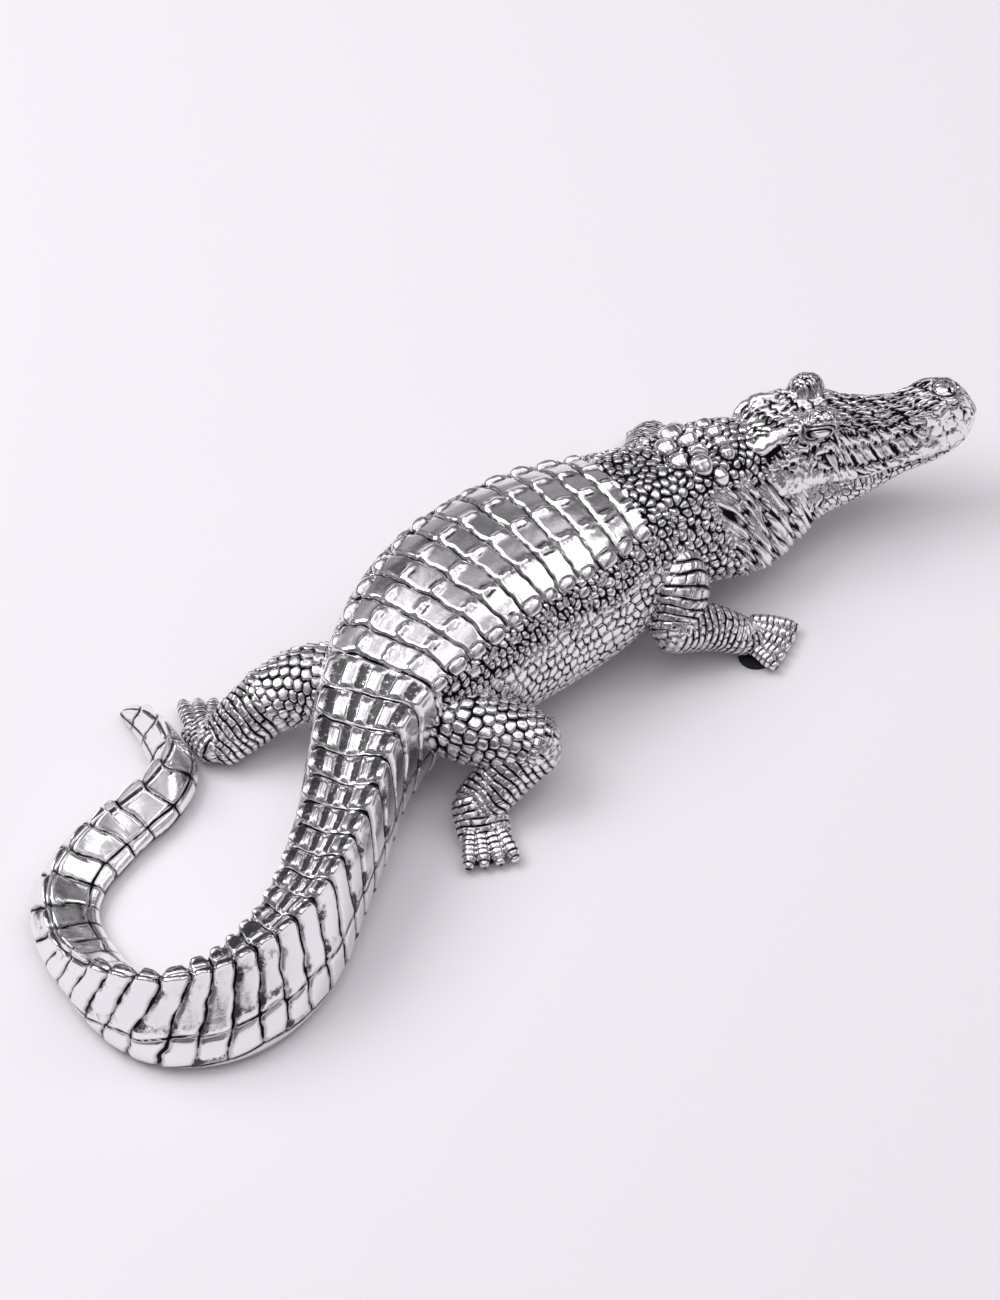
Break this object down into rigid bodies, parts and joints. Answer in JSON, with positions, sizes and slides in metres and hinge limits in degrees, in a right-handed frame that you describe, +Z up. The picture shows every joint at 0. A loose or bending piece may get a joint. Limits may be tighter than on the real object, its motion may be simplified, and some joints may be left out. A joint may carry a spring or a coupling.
{
  "type": "crocodile sculpture",
  "caption": "Table sculpture of a walking crocodile with a curled tail, cast in one piece with scaly relief and round foot pads.",
  "frame": {"origin": "middle of the footprint, at the height of the table under the foot pads", "axes": "+X along the body towards the snout, +Y to the animal's left, +Z up"},
  "size_m": [0.5808, 0.2186, 0.0912],
  "materials": {
    "silver_plating": "bright silver plating with black patina left in the grooves",
    "black_felt": "black felt"
  },
  "bodies": {
    "root": {"crocodile": "silver_plating", "right_fore_foot_pad": "black_felt", "left_fore_foot_pad": "black_felt", "right_hind_foot_pad": "black_felt", "left_hind_foot_pad": "black_felt"}
  },
  "joints": []
}
